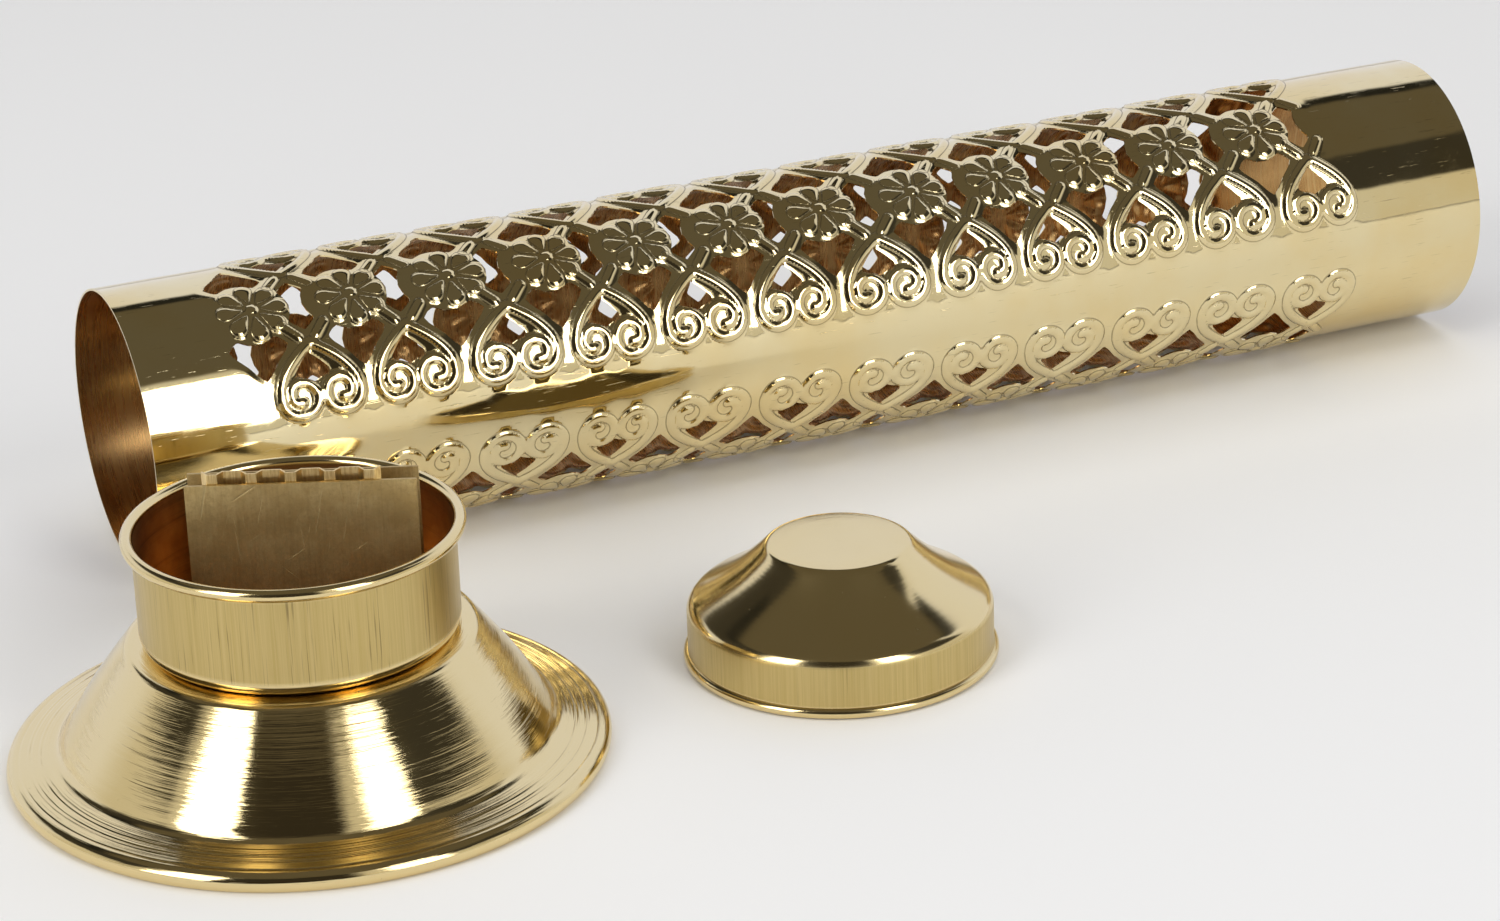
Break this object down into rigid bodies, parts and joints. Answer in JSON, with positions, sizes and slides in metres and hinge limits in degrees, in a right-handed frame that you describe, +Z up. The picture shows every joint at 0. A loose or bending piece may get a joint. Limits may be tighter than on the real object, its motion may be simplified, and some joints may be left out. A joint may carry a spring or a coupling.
{
  "type": "incense tower",
  "caption": "Brass incense-stick tower taken apart: spun foot with cup and fluted stick holder, pierced smoke tube lying beside it, and loose cap.",
  "frame": {"origin": "middle of the laid-out set's bounding box, on the surface it stands on", "axes": "+X along the lying tube, from the end that fits the cup towards the end that takes the cap; +Z up; -Y the side where foot and cap stand"},
  "size_m": [0.3056, 0.1588, 0.0508],
  "materials": {
    "spun_brass": "spun and polished, with fine turning marks",
    "polished_brass": "bright polished outside, heat-browned inside",
    "aged_brass": "dull, tarnished and scratched",
    "fixing_brass": "turned, lightly tarnished"
  },
  "bodies": {
    "stand": {"base_foot": "spun_brass", "cup": "spun_brass", "holder_channel": "aged_brass", "fluted_strip": "aged_brass", "centre_screw": "fixing_brass", "washer": "fixing_brass", "hex_nut": "fixing_brass"},
    "smoke_tube": {"pierced_tube": "polished_brass"},
    "cap": {"cap": "spun_brass"}
  },
  "joints": [
    {"name": "cap_lift", "type": "slide", "parent": "stand", "child": "cap", "axis": [0, 0, 1], "range_m": [0, 0.06]},
    {"name": "tube_stand", "type": "hinge", "parent": "stand", "child": "smoke_tube", "pos_m": [-0.11025, 0.05435, 0], "axis": [0, -1, 0], "range_deg": [0, 90]}
  ]
}
